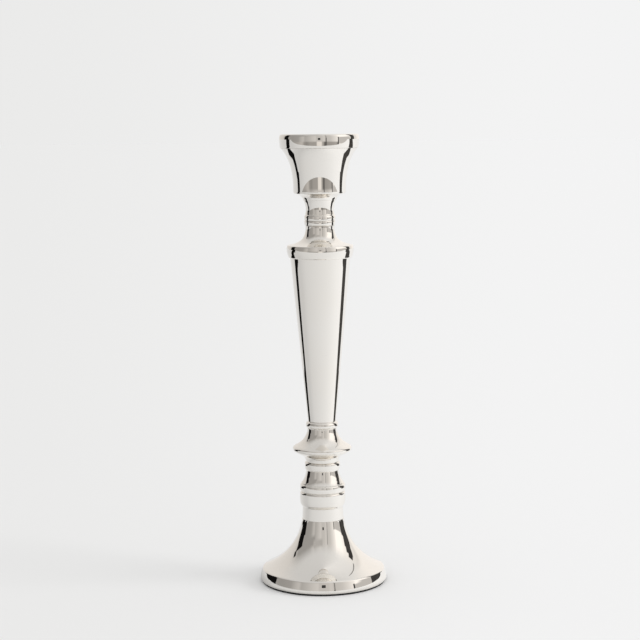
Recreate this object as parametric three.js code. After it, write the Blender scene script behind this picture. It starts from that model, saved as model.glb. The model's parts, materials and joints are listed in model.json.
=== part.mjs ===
// A silver-plated table candlestick, built as a stack of turned sections on one tie rod.
// The rod runs from a nut under the weighted foot to a nut in the floor of the candle cup.
// A loose nozzle drops into the cup, grips the candle and catches its wax.
// Millimetres, +Z up, with the origin at the centre of the felt's underside.
import * as THREE from "three";

// Heights above the table at which one section meets the next.
const LEVEL = {
  feltTop: 1.2,
  footTop: 40.5,
  collarTop: 58,
  collarBeadTop: 63.2,
  balusterTop: 72,
  checkRingTop: 77.4,
  knopSplit: 85.6,
  knopTop: 98.8,
  columnBeadTop: 103.6,
  columnTop: 207.7,
  shoulderTop: 226.8,
  neckBeadTop: 235.2,
  cupBottom: 243.9,
  mouldingBottom: 276.3,
  rimTop: 285,
};

// Radii of the visible outline, each at the edge that its name says.
const RADIUS = {
  felt: 39.4,
  foot: 40.5,
  footShelf: 38.7,
  footNeck: 13.4,
  collarWaist: 12.3,
  collarBarrel: 14.9,
  collarBead: 14.5,
  checkRing: 12.6,
  knopEdge: 18.8,
  knopNeck: 9.6,
  columnBead: 11.5,
  columnBottom: 8.95,
  columnTop: 18.95,
  shoulderBottom: 19.6,
  shoulder: 21.2,
  neck: 9.15,
  neckBead: 10.2,
  throat: 10.4,
  cupBottom: 16.6,
  moulding: 25,
};

// The tie rod is M6. Every section is bored over it, and each one's spigot drops into a
// recess in the section below, which keeps the stack in line.
const ROD_R = 3;
const BORE_R = 3.4;
const SPIGOT = { r: 6, height: 1.4 };
const RECESS = { r: 6.3, depth: 1.7 };
const ROD_BOTTOM = 3.6;
const ROD_TOP = 254.2;

// The candle: a standard 22 mm taper, with room to push it in.
const CANDLE_BORE_R = 11.4;
const NOZZLE_WALL = 1.1;
const CANDLE_SEAT = 257;
const CANDLE_DEPTH = 16.5;

const WALL = 1.9; // shells of the foot and the cup
const COLUMN_WALL = 1.5;
const GAP = 0.3; // clearance between loose or glued pieces
const SIDES = { large: 36, medium: 28, small: 16 };

const silver = new THREE.MeshStandardMaterial({ color: 0xdedbd6, roughness: 0.08, metalness: 1 });
const steel = new THREE.MeshStandardMaterial({ color: 0x9c9fa3, roughness: 0.35, metalness: 1 });
const iron = new THREE.MeshStandardMaterial({ color: 0x3c3b3a, roughness: 0.75, metalness: 0.6 });
const felt = new THREE.MeshStandardMaterial({ color: 0x151517, roughness: 0.95, metalness: 0 });

const candlestick = new THREE.Group();

// A mesh turned from a closed outline of radius and height, stood with its base at a level.
function turned(name, material, outline, level, sides = SIDES.medium, divisions = 3) {
  const geometry = new THREE.LatheGeometry(outline.getPoints(divisions), sides);
  geometry.rotateX(Math.PI / 2);
  const mesh = new THREE.Mesh(geometry, material);
  mesh.name = name;
  mesh.position.z = level;
  candlestick.add(mesh);
}

// A section of the stack. It starts with the spigot below its bottom face, draw() carries the
// outer surface from the bottom face to the top one, and the recess and the rod bore close it.
function section(name, bottomR, height, level, draw, options = {}) {
  const { spigot = true, recess = true, sides, divisions } = options;
  const outline = new THREE.Path();
  if (spigot) {
    outline.moveTo(BORE_R, -SPIGOT.height);
    outline.lineTo(SPIGOT.r, -SPIGOT.height);
    outline.lineTo(SPIGOT.r, 0);
  } else {
    outline.moveTo(BORE_R, 0);
  }
  outline.lineTo(bottomR, 0);
  draw(outline);
  if (recess) {
    outline.lineTo(RECESS.r, height);
    outline.lineTo(RECESS.r, height - RECESS.depth);
  }
  outline.lineTo(BORE_R, recess ? height - RECESS.depth : height);
  outline.closePath();
  turned(name, silver, outline, level, sides, divisions);
}

// A plain disc or washer.
function ring(name, material, innerR, outerR, thickness, level, sides = SIDES.small) {
  const outline = new THREE.Path();
  outline.moveTo(innerR, 0);
  outline.lineTo(outerR, 0);
  outline.lineTo(outerR, thickness);
  outline.lineTo(innerR, thickness);
  if (innerR > 0) outline.closePath();
  turned(name, material, outline, level, sides);
}

// A flat steel piece cut to a shape.
function cutFlat(name, shape, thickness, level) {
  const geometry = new THREE.ExtrudeGeometry(shape, {
    depth: thickness,
    bevelEnabled: false,
    curveSegments: SIDES.small,
  });
  const mesh = new THREE.Mesh(geometry, steel);
  mesh.name = name;
  mesh.position.z = level;
  candlestick.add(mesh);
}

// A ring sprung open by a narrow gap.
function splitWasher(name, innerR, outerR, thickness, level) {
  const shape = new THREE.Shape();
  const halfGap = 0.12; // radians
  shape.absarc(0, 0, outerR, halfGap, Math.PI * 2 - halfGap, false);
  shape.absarc(0, 0, innerR, Math.PI * 2 - halfGap, halfGap, true);
  shape.closePath();
  cutFlat(name, shape, thickness, level);
}

// A hexagon nut.
function nut(name, acrossFlats, thickness, level) {
  const shape = new THREE.Shape();
  const cornerR = acrossFlats / Math.sqrt(3);
  for (let corner = 0; corner < 6; corner++) {
    const angle = (corner * Math.PI) / 3;
    const x = cornerR * Math.cos(angle);
    const y = cornerR * Math.sin(angle);
    if (corner === 0) shape.moveTo(x, y);
    else shape.lineTo(x, y);
  }
  shape.closePath();
  const hole = new THREE.Path();
  hole.absarc(0, 0, ROD_R + GAP, 0, Math.PI * 2, true);
  shape.holes.push(hole);
  cutFlat(name, shape, thickness, level);
}

// ---- Foot: a bell-shaped shell on a canted band, weighted inside and closed underneath ----

const FOOT = {
  height: LEVEL.footTop - LEVEL.feltTop,
  lip: 1.1, // height of the rounded bottom edge
  shelf: 7.2, // height of the canted band's top
  bossBottom: 31, // underside of the thick crown that the rod pulls down on
  rebate: { r: 38.2, depth: 2 },
};

// The bell's curve from the crown down to the shelf, moved inwards by an offset.
function bellCurve(offset) {
  return {
    top: [RADIUS.footNeck - offset, FOOT.height],
    high: [RADIUS.footNeck + 1.5 - offset, FOOT.height - 16.5 - offset * 0.3],
    low: [RADIUS.footShelf - 13.8 - offset * 0.5, FOOT.shelf + 6.4 - offset],
    bottom: [RADIUS.footShelf - 0.7 - offset * 0.3, FOOT.shelf + 0.6 - offset],
  };
}

function footShell() {
  const outside = bellCurve(0);
  const inside = bellCurve(WALL);
  const outline = new THREE.Path();
  outline.moveTo(FOOT.rebate.r, 0);
  outline.lineTo(RADIUS.foot - 0.6, 0);
  outline.quadraticCurveTo(RADIUS.foot + 0.1, 0.2, RADIUS.foot, FOOT.lip);
  outline.lineTo(RADIUS.footShelf, FOOT.shelf);
  outline.quadraticCurveTo(RADIUS.footShelf - 0.1, FOOT.shelf + 0.5, ...outside.bottom);
  outline.bezierCurveTo(...outside.low, ...outside.high, ...outside.top);
  outline.lineTo(RECESS.r, FOOT.height);
  outline.lineTo(RECESS.r, FOOT.height - RECESS.depth);
  outline.lineTo(BORE_R, FOOT.height - RECESS.depth);
  outline.lineTo(BORE_R, FOOT.bossBottom);
  outline.lineTo(inside.top[0] + 0.8, FOOT.bossBottom);
  outline.bezierCurveTo(
    inside.high[0] + 0.4, inside.high[1],
    ...inside.low,
    inside.bottom[0] - 0.6, inside.bottom[1],
  );
  outline.lineTo(RADIUS.footShelf - WALL - 0.8, FOOT.rebate.depth);
  outline.lineTo(FOOT.rebate.r, FOOT.rebate.depth);
  outline.closePath();
  turned("foot_shell", silver, outline, LEVEL.feltTop, SIDES.large, 5);
}

// A cast-iron cone under the crown, with a pocket below for the washers and the nut.
const BALLAST = { bottom: 2.2, pocketR: 14, pocketTop: 10.8, rimR: 33, rimTop: 4.6, topR: 8.6 };

function ballastWeight() {
  const outline = new THREE.Path();
  outline.moveTo(BALLAST.pocketR, BALLAST.bottom);
  outline.lineTo(BALLAST.rimR, BALLAST.bottom);
  outline.lineTo(BALLAST.rimR, BALLAST.rimTop);
  outline.quadraticCurveTo(13, 11, BALLAST.topR, FOOT.bossBottom);
  outline.lineTo(BORE_R, FOOT.bossBottom);
  outline.lineTo(BORE_R, BALLAST.pocketTop);
  outline.lineTo(BALLAST.pocketR, BALLAST.pocketTop);
  outline.closePath();
  turned("ballast_weight", iron, outline, LEVEL.feltTop, SIDES.medium);
}

ring("felt_pad", felt, 0, RADIUS.felt, LEVEL.feltTop, 0, SIDES.large);
ring("cover_plate", steel, 0, FOOT.rebate.r - GAP, 1.5, LEVEL.feltTop, SIDES.large);
footShell();
ballastWeight();

// ---- The rod and what tightens it ----

const CLAMP_WASHER = { r: 9, thickness: 1.2 };
const SPRING_WASHER = { r: 5.8, thickness: 1.5 };
const FOOT_NUT = { acrossFlats: 10, thickness: 5 };
const CUP_WASHER = { r: 8, thickness: 1 };
const CUP_NUT = { acrossFlats: 10, thickness: 3.2 };
const CUP_FLOOR = 249.5;

const clampLevel = LEVEL.feltTop + BALLAST.pocketTop - CLAMP_WASHER.thickness;
const springLevel = clampLevel - SPRING_WASHER.thickness;
ring("tie_rod", steel, 0, ROD_R, ROD_TOP - ROD_BOTTOM, ROD_BOTTOM);
ring("clamp_washer", steel, ROD_R + GAP, CLAMP_WASHER.r, CLAMP_WASHER.thickness, clampLevel);
splitWasher("spring_washer", ROD_R + GAP, SPRING_WASHER.r, SPRING_WASHER.thickness, springLevel);
nut("foot_nut", FOOT_NUT.acrossFlats, FOOT_NUT.thickness, springLevel - FOOT_NUT.thickness);
ring("cup_washer", steel, ROD_R + GAP, CUP_WASHER.r, CUP_WASHER.thickness, CUP_FLOOR);
nut("cup_nut", CUP_NUT.acrossFlats, CUP_NUT.thickness, CUP_FLOOR + CUP_WASHER.thickness);

// ---- Stem below the column ----

const collarHeight = LEVEL.collarTop - LEVEL.footTop;
section("barrel_collar", RADIUS.footNeck, collarHeight, LEVEL.footTop, (outline) => {
  outline.quadraticCurveTo(RADIUS.collarWaist, 4.6, 13, 9.3);
  outline.lineTo(13.9, 10);
  outline.bezierCurveTo(14.5, 11, RADIUS.collarBarrel, 15, 14.2, collarHeight);
});

const collarBeadHeight = LEVEL.collarBeadTop - LEVEL.collarTop;
section("collar_bead", 13.6, collarBeadHeight, LEVEL.collarTop, (outline) => {
  outline.lineTo(13.6, 0.4);
  outline.quadraticCurveTo(RADIUS.collarBead, 0.5, RADIUS.collarBead, 1.6);
  outline.quadraticCurveTo(RADIUS.collarBead, 3.6, 14, collarBeadHeight);
});

const balusterHeight = LEVEL.balusterTop - LEVEL.collarBeadTop;
section("baluster", 13.8, balusterHeight, LEVEL.collarBeadTop, (outline) => {
  outline.lineTo(13.8, 0.5);
  outline.bezierCurveTo(12.6, 1.6, 11.2, 4.5, 10.3, balusterHeight);
});

const checkRingHeight = LEVEL.checkRingTop - LEVEL.balusterTop;
section("check_ring", 10.3, checkRingHeight, LEVEL.balusterTop, (outline) => {
  outline.quadraticCurveTo(RADIUS.checkRing, checkRingHeight / 2, 10.4, checkRingHeight);
});

const saucerHeight = LEVEL.knopSplit - LEVEL.checkRingTop;
section("knop_saucer", 10.4, saucerHeight, LEVEL.checkRingTop, (outline) => {
  outline.bezierCurveTo(11.7, 5.4, 14.3, 4, 18.6, saucerHeight - 0.7);
  outline.lineTo(RADIUS.knopEdge, saucerHeight);
});

const knopHeight = LEVEL.knopTop - LEVEL.knopSplit;
section("knop_bell", RADIUS.knopEdge, knopHeight, LEVEL.knopSplit, (outline) => {
  outline.quadraticCurveTo(RADIUS.knopEdge, 1.1, 17.8, 1.5);
  outline.bezierCurveTo(17.1, 2.5, 9, 5.3, RADIUS.knopNeck, knopHeight);
});

const columnBeadHeight = LEVEL.columnBeadTop - LEVEL.knopTop;
section("column_bead", 9.5, columnBeadHeight, LEVEL.knopTop, (outline) => {
  outline.quadraticCurveTo(RADIUS.columnBead, columnBeadHeight / 2, 9.1, columnBeadHeight);
});

// ---- Column: a tapered tube, centred on the rod by a plug at each end ----

const columnHeight = LEVEL.columnTop - LEVEL.columnBeadTop;
const columnTaper = (RADIUS.columnTop - RADIUS.columnBottom) / columnHeight;
const PLUG_HEIGHT = 9;

function column() {
  const outline = new THREE.Path();
  outline.moveTo(RADIUS.columnBottom - COLUMN_WALL, 0);
  outline.lineTo(RADIUS.columnBottom, 0);
  outline.lineTo(RADIUS.columnTop, columnHeight);
  outline.lineTo(RADIUS.columnTop - COLUMN_WALL, columnHeight);
  outline.closePath();
  turned("column", silver, outline, LEVEL.columnBeadTop, SIDES.large);
}

// A plug that fills the tube at a height above the column's foot.
function columnPlug(name, height, withSpigot, withRecess) {
  const bottomR = RADIUS.columnBottom + columnTaper * height - COLUMN_WALL - GAP;
  const topR = bottomR + columnTaper * PLUG_HEIGHT;
  const draw = (outline) => outline.lineTo(topR, PLUG_HEIGHT);
  const options = { spigot: withSpigot, recess: withRecess };
  section(name, bottomR, PLUG_HEIGHT, LEVEL.columnBeadTop + height, draw, options);
}

column();
columnPlug("column_foot_plug", 0, true, false);
columnPlug("column_head_plug", columnHeight - PLUG_HEIGHT, false, true);

// ---- Shoulder and neck ----

const shoulderHeight = LEVEL.shoulderTop - LEVEL.columnTop;
const BAND_TOP = 6.8;
section("shoulder_cap", RADIUS.shoulderBottom, shoulderHeight, LEVEL.columnTop, (outline) => {
  outline.lineTo(RADIUS.shoulderBottom + 0.4, 0.4);
  outline.lineTo(RADIUS.shoulder, BAND_TOP);
  outline.quadraticCurveTo(RADIUS.shoulder, BAND_TOP + 0.9, 20.3, BAND_TOP + 1.1);
  outline.bezierCurveTo(13.6, 9.6, 9.2, 10.8, RADIUS.neck, shoulderHeight);
}, { sides: SIDES.large, divisions: 4 });

const neckBeadHeight = LEVEL.neckBeadTop - LEVEL.shoulderTop;
section("neck_bead", RADIUS.neck, neckBeadHeight, LEVEL.shoulderTop, (outline) => {
  outline.lineTo(RADIUS.neck, 1);
  outline.bezierCurveTo(RADIUS.neckBead, 1.6, RADIUS.neckBead, 7.2, RADIUS.neck, 7.9);
  outline.lineTo(RADIUS.neck, neckBeadHeight);
});

const neckHeight = LEVEL.cupBottom - LEVEL.neckBeadTop;
section("neck", RADIUS.neck, neckHeight, LEVEL.neckBeadTop, (outline) => {
  outline.quadraticCurveTo(8.5, 4.6, RADIUS.throat, neckHeight);
});

// ---- Cup: a flared shell with a ledge for the nozzle and a moulding around its lip ----

const CUP = {
  underside: 4.1, // height of the bottom edge above the throat
  sideTopR: 24.2, // where the side meets the moulding
  lipR: 23.4,
  mouthR: 22,
  lipTop: LEVEL.rimTop - 0.7 - LEVEL.cupBottom,
  ledge: 278.6 - LEVEL.cupBottom,
  ledgeR: 20.9,
};

function candleCup() {
  const floor = CUP_FLOOR - LEVEL.cupBottom;
  const sideStart = CUP.underside + 1;
  const sideTop = LEVEL.mouldingBottom - LEVEL.cupBottom;
  const bottomR = RADIUS.cupBottom;
  const outline = new THREE.Path();
  outline.moveTo(BORE_R, -SPIGOT.height);
  outline.lineTo(SPIGOT.r, -SPIGOT.height);
  outline.lineTo(SPIGOT.r, 0);
  outline.lineTo(RADIUS.throat, 0);
  outline.quadraticCurveTo(11.1, 3, bottomR - 0.5, CUP.underside);
  outline.lineTo(bottomR, sideStart);
  outline.bezierCurveTo(bottomR, 15.6, bottomR + 2.1, 26.7, CUP.sideTopR, sideTop);
  outline.lineTo(CUP.lipR, sideTop);
  outline.lineTo(CUP.lipR, CUP.lipTop);
  outline.lineTo(CUP.mouthR, CUP.lipTop);
  outline.lineTo(CUP.mouthR, CUP.ledge);
  outline.lineTo(CUP.ledgeR, CUP.ledge);
  outline.lineTo(CUP.ledgeR, sideTop - 0.3);
  outline.bezierCurveTo(bottomR + 0.9, 27.2, bottomR - WALL, 16, bottomR - WALL, floor + 2.4);
  outline.quadraticCurveTo(bottomR - WALL, floor, 12.6, floor);
  outline.lineTo(BORE_R, floor);
  outline.closePath();
  turned("candle_cup", silver, outline, LEVEL.cupBottom, SIDES.large, 4);
}

// A moulding that wraps the cup's lip and turns over its top edge.
function rimMoulding() {
  const height = LEVEL.rimTop - LEVEL.mouldingBottom;
  const turnover = height - 0.6;
  const outline = new THREE.Path();
  outline.moveTo(CUP.lipR + GAP, 0);
  outline.lineTo(RADIUS.moulding - 0.5, 0);
  outline.quadraticCurveTo(RADIUS.moulding, 3, RADIUS.moulding, 5.6);
  outline.quadraticCurveTo(RADIUS.moulding, height, RADIUS.moulding - 1.1, height);
  outline.lineTo(CUP.mouthR + 0.1, height);
  outline.lineTo(CUP.mouthR + 0.1, turnover);
  outline.lineTo(CUP.lipR + GAP, turnover);
  outline.closePath();
  turned("rim_moulding", silver, outline, LEVEL.mouldingBottom, SIDES.large);
}

// The loose nozzle: a closed tube for the candle under a wax dish that hangs on the ledge.
function nozzle() {
  const tubeR = CANDLE_BORE_R + NOZZLE_WALL;
  const seat = 1; // thickness of the tube's floor
  const mouth = seat + CANDLE_DEPTH; // where the tube opens into the dish
  const flangeR = CUP.mouthR - GAP;
  const flange = CUP.ledge + LEVEL.cupBottom - (CANDLE_SEAT - seat);
  const outline = new THREE.Path();
  outline.moveTo(0, 0);
  outline.lineTo(tubeR - 0.6, 0);
  outline.lineTo(tubeR, 0.6);
  outline.lineTo(tubeR, mouth - 0.4);
  outline.quadraticCurveTo(tubeR + 1, flange - 0.9, CUP.ledgeR - 0.6, flange);
  outline.lineTo(flangeR, flange);
  outline.lineTo(flangeR, flange + 1.2);
  outline.lineTo(flangeR - 1.3, flange + 1.2);
  outline.quadraticCurveTo(CANDLE_BORE_R + 0.8, flange, CANDLE_BORE_R, mouth);
  outline.lineTo(CANDLE_BORE_R, seat);
  outline.lineTo(0, seat);
  turned("nozzle", silver, outline, CANDLE_SEAT - seat, SIDES.large);
}

candleCup();
rimMoulding();
nozzle();

export default candlestick;
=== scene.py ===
import json
import math
import bpy
import numpy as np
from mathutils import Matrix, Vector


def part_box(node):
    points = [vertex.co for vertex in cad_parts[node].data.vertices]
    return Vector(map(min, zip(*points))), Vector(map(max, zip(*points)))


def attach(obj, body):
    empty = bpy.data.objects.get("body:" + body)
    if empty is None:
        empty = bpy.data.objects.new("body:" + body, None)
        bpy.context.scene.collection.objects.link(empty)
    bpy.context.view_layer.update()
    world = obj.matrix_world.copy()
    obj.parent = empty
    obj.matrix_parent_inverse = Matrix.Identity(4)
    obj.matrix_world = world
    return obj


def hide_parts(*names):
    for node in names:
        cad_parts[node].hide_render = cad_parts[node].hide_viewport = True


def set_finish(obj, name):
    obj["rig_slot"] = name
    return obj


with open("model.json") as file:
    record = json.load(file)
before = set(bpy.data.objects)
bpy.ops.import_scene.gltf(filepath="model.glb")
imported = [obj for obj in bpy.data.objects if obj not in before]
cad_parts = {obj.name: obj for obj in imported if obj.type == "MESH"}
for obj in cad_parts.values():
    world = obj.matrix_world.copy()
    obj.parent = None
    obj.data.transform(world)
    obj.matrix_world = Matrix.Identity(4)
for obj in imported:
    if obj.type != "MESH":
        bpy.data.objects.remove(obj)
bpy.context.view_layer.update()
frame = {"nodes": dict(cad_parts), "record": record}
mm = 0.001
sides = 240  # steps round every turned surface
print("frame loaded:", len(frame["nodes"]), "pieces")


def top(node):
    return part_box(node)[1].z / mm


def bottom(node):
    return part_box(node)[0].z / mm


def reach(node):
    # The outer radius of a turned piece.
    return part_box(node)[1].x / mm


# The heights at which one section of the stack meets the next.
level = {
    "feltTop": top("felt_pad"),
    "footTop": top("foot_shell"),
    "collarTop": top("barrel_collar"),
    "ringTop": top("collar_bead"),
    "balusterTop": top("baluster"),
    "checkTop": top("check_ring"),
    "knopSplit": top("knop_saucer"),
    "knopTop": top("knop_bell"),
    "columnBottom": top("column_bead"),
    "columnTop": top("column"),
    "shoulderTop": top("shoulder_cap"),
    "neckBeadTop": top("neck_bead"),
    "cupBottom": top("neck"),
    "lipBottom": bottom("rim_moulding"),
    "rimTop": top("rim_moulding"),
}

# Fits inside the stack: the bore over the rod, and the spigot and recess that centre each joint.
fit = {"bore": 3.4, "spigot": 6.0, "spigotDrop": 1.4, "recess": 6.3, "recessDrop": 1.7}

# How finely an outline is drawn, in millimetres and in points.
drawing = {
    "curveStep": 0.34,
    "straightStep": 2.4,
    "guard": 0.06,  # from each end of a run to its close point
    "mostCut": 0.45,  # the part of a run that a rounded corner may take
    "curvePoints": 600,
    "cornerPoints": 9,
    "apart": 0.0001,  # of two points nearer than this, one is dropped
}


def span(low, high):
    # The base and the height of the section that stands between two levels.
    return level[low], level[high] - level[low]


def to(r, z, soft=0.15):
    # A straight run of an outline. soft is how far the corner at its end is cut back and rounded.
    return {"pulls": [], "end": (r, z), "soft": soft}


def bend(pullA, pullB, end, soft=0.15):
    # A curved run: it leaves towards pullA and arrives from pullB.
    return {"pulls": [pullA, pullB], "end": end, "soft": soft}


def runPoints(start, run):
    # Straight: start + t (end - start). Curved: the cubic blend of start, both pulls and end.
    t = np.linspace(0, 1, drawing["curvePoints"] if run["pulls"] else 2)[:, None]
    a, d = np.array(start, float), np.array(run["end"], float)
    if not run["pulls"]:
        return a * (1 - t) + d * t
    b, c = (np.array(pull, float) for pull in run["pulls"])
    return a * (1 - t) ** 3 + 3 * b * t * (1 - t) ** 2 + 3 * c * t * t * (1 - t) + d * t ** 3


def alongOutline(points):
    # The length of the outline from its start to each point.
    return np.concatenate([[0], np.cumsum(np.hypot(*np.diff(points, axis=0).T))])


def trimmed(points, cutStart, cutEnd, step):
    # The same run without a length at each end, in even steps, with a close point beside each end
    # so that a rounded corner doesn't tint the flat beside it.
    s = alongOutline(points)
    low, high = cutStart, s[-1] - cutEnd
    guard = min(drawing["guard"], (high - low) / 4)
    count = max(2, int(math.ceil((high - low) / step)) + 1)
    at = np.concatenate([[low], np.linspace(low + guard, high - guard, count), [high]])
    return np.column_stack([np.interp(at, s, points[:, 0]), np.interp(at, s, points[:, 1])])


def outline(start, runs, closed=True, softStart=0.15):
    # The cross-section through the runs, with each corner replaced by a small parabola.
    ends = [start] + [run["end"] for run in runs]
    parts = [runPoints(a, run) for a, run in zip(ends, runs)]
    lengths = [alongOutline(part)[-1] for part in parts]
    soft = [run["soft"] for run in runs]
    soft[-1] = softStart if closed else 0
    following = lengths[1:] + lengths[:1]
    cuts = [min(cut, drawing["mostCut"] * min(a, b)) for cut, a, b in zip(soft, lengths, following)]
    stretches = []
    for i, part in enumerate(parts):
        before = cuts[i - 1] if closed or i > 0 else 0
        step = drawing["curveStep" if runs[i]["pulls"] else "straightStep"]
        body = trimmed(part, before, cuts[i], step)
        stretches.append(body)
        if cuts[i] > 0:
            after = trimmed(parts[(i + 1) % len(parts)], cuts[i], 0, drawing["straightStep"])[0]
            t = np.linspace(0, 1, drawing["cornerPoints"])[1:-1, None]
            stretches.append(body[-1] * (1 - t) ** 2 + 2 * part[-1] * t * (1 - t) + after * t * t)
    points = np.concatenate(stretches)
    keep = np.hypot(*(points - np.roll(points, 1, axis=0)).T) > drawing["apart"]
    keep[0] = True
    return points[keep]


def cornerMeasure(points, within=0.5):
    # How hollow the outline is at each point: positive in an inside corner and negative on an
    # outside edge. It is the turn of the outline within a short length either side.
    s = alongOutline(points)
    r, z = points.T
    back = np.clip(s - within, 0, s[-1])
    ahead = np.clip(s + within, 0, s[-1])
    toBack = np.stack([np.interp(back, s, r) - r, np.interp(back, s, z) - z])
    toAhead = np.stack([np.interp(ahead, s, r) - r, np.interp(ahead, s, z) - z])
    along = toAhead - toBack
    cross = toBack[0] * toAhead[1] - toBack[1] * toAhead[0]
    return s, cross / (np.hypot(*along) * within + 1e-9)


def meshFrom(name, vertices, faces, counts):
    # Puts whole arrays into a new mesh and smooths it.
    mesh = bpy.data.meshes.new(name)
    mesh.vertices.add(len(vertices))
    mesh.vertices.foreach_set("co", vertices.astype(np.float32).ravel())
    mesh.loops.add(len(faces))
    mesh.loops.foreach_set("vertex_index", faces.astype(np.int32))
    mesh.polygons.add(len(counts))
    starts = np.concatenate([[0], np.cumsum(counts)[:-1]])
    mesh.polygons.foreach_set("loop_start", starts.astype(np.int32))
    mesh.polygons.foreach_set("use_smooth", np.ones(len(counts), bool))
    mesh.update(calc_edges=True)
    mesh.validate()
    piece = bpy.data.objects.new(name, mesh)
    bpy.context.scene.collection.objects.link(piece)
    return piece


def addAttribute(piece, name, values):
    attribute = piece.data.attributes.new(name, "FLOAT", "POINT")
    attribute.data.foreach_set("value", np.asarray(values, np.float32))


def turned(name, points, closed=True):
    # A surface of revolution: (outline point, turn) goes to (r cos turn, r sin turn, z). An open
    # outline starts and ends on the axis, and its two ends become single points.
    rows = points if closed else points[1:-1]
    turn = np.arange(sides) * (2 * math.pi / sides)
    r, z = rows[:, 0, None] * mm, rows[:, 1, None] * mm
    grid = np.stack([r * np.cos(turn), r * np.sin(turn), z * np.ones(sides)], 2)
    vertices = grid.reshape(-1, 3)
    count = len(rows)
    i, j = np.meshgrid(np.arange(count if closed else count - 1), np.arange(sides), indexing="ij")
    below, above = (i % count) * sides, ((i + 1) % count) * sides
    after = (j + 1) % sides
    quads = np.stack([below + j, below + after, above + after, above + j], 2).reshape(-1, 4)
    faces, counts = quads.ravel(), np.full(len(quads), 4)
    s, hollow = cornerMeasure(points)
    along, corner = np.repeat(s, sides), np.repeat(hollow, sides)
    if not closed:
        first, last = len(vertices), len(vertices) + 1
        poles = np.array([[0, 0, points[0, 1] * mm], [0, 0, points[-1, 1] * mm]])
        vertices = np.concatenate([vertices, poles])
        around = np.arange(sides)
        onward = (around + 1) % sides
        lastRow = (count - 1) * sides
        lower = np.stack([np.full(sides, first), onward, around], 1)
        upper = np.stack([np.full(sides, last), lastRow + around, lastRow + onward], 1)
        faces = np.concatenate([faces, lower.ravel(), upper.ravel()])
        counts = np.concatenate([counts, np.full(2 * sides, 3)])
        along = np.concatenate([np.repeat(s[1:-1], sides), [s[0], s[-1]]])
        corner = np.concatenate([np.repeat(hollow[1:-1], sides), [0, 0]])
    piece = meshFrom(name, vertices, faces, counts)
    addAttribute(piece, "along", along)
    addAttribute(piece, "hollow", corner)
    return piece


def raised(runs, base):
    # The same runs, lifted from heights that start at 0 to a section's own base.
    return [{
        "pulls": [(r, base + z) for r, z in run["pulls"]],
        "end": (run["end"][0], base + run["end"][1]),
        "soft": run["soft"],
    } for run in runs]


def section(name, node, base, height, bottomR, runs, spigot=True, recess=True, edge=0.15):
    # One section of the stack: spigot and bore below, the runs up the outside, recess and bore on
    # top. The runs' heights start at 0.
    start = (fit["bore"], base - fit["spigotDrop"]) if spigot else (fit["bore"], base)
    path = []
    if spigot:
        path += [to(fit["spigot"], base - fit["spigotDrop"], 0.3), to(fit["spigot"], base, 0.1)]
    path.append(to(bottomR, base, edge))
    path += raised(runs, base)
    crown = base + height
    if recess:
        path += [to(fit["recess"], crown, 0.2), to(fit["recess"], crown - fit["recessDrop"], 0.1)]
        crown -= fit["recessDrop"]
    path += [to(fit["bore"], crown, 0.2), to(*start)]
    piece = turned(name, outline(start, path))
    return place(piece, node, "silver")


def place(piece, node, slotName, body="stand"):
    # Says which body a piece rides on, which node it stands in for and what finish it has.
    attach(piece, body)
    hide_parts(node)
    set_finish(piece, slotName)
    pieces.append(piece)
    return piece


pieces = []

footShape = {
    "neck": 13.4,  # radius where the collar stands on it
    "shelf": 39.1,  # radius at the top of the canted band
    "shelfHeight": 7.2,
    "lip": 1.1,  # height of the rounded bottom edge
    "rebate": 38.2,  # radius of the recess for the cover plate
    "rebateDepth": 2,
    "crown": 31,  # underside of the thick top
    "wall": 1.9,
}


def makeFoot():
    # Bell curve over a canted band, hollow below a thick crown.
    base, height = span("feltTop", "footTop")
    shape, wide = footShape, reach("foot_shell")
    shelf, wall, neck = shape["shelf"], shape["wall"], shape["neck"]
    shelfTop = shape["shelfHeight"]
    runs = [
        to(wide - 0.5, 0, 0.35),
        to(wide, shape["lip"], 0.35),
        bend((wide - 0.1, 3.2), (shelf + 0.6, shelfTop - 2), (shelf, shelfTop), 0.4),
        to(shelf - 0.7, shelfTop + 0.6, 0.35),
        bend((shelf - 14.2, shelfTop + 6.6), (neck + 2.3, height - 15), (neck, height), 0.08),
        to(fit["recess"], height, 0.1),
        to(fit["recess"], height - fit["recessDrop"], 0.1),
        to(fit["bore"], height - fit["recessDrop"], 0.2),
        to(fit["bore"], shape["crown"], 0.2),
        to(neck - wall + 0.8, shape["crown"], 1),
        bend((neck, height - 17), (shelf - 14.8, shelfTop + 4.5), (shelf - wall, shelfTop - 1.1), 0.8),
        to(shelf - wall - 0.8, shape["rebateDepth"], 0.2),
        to(shape["rebate"], shape["rebateDepth"], 0.1),
        to(shape["rebate"], 0, 0.2),
    ]
    bell = outline((shape["rebate"], base), raised(runs, base))
    place(turned("foot_bell", bell), "foot_shell", "silver")


makeFoot()

collarShape = {"waist": 12.95, "waistHeight": 7.4, "barrel": 14.65, "shoulder": 14.05}


def makeCollar():
    # A plain waist that swells quickly into a barrel.
    base, height = span("footTop", "collarTop")
    shape = collarShape
    waist, rise, barrel = shape["waist"], shape["waistHeight"], shape["barrel"]
    section("barrel_collar_turned", "barrel_collar", base, height, footShape["neck"] - 0.15, [
        to(waist, rise, 0.4),
        bend((waist - 0.02, rise + 0.8), (barrel - 0.8, rise + 1.2), (barrel - 0.35, rise + 2.6), 0),
        bend((barrel + 0.05, rise + 4), (barrel, height - 3.3), (barrel - 0.15, height - 0.7), 0.38),
        to(shape["shoulder"], height, 0.15),
    ], edge=0.1)


makeCollar()

ringShape = {"foot": 13.75, "belly": 14.55, "groove": 0.35, "top": 13.75}


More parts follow.
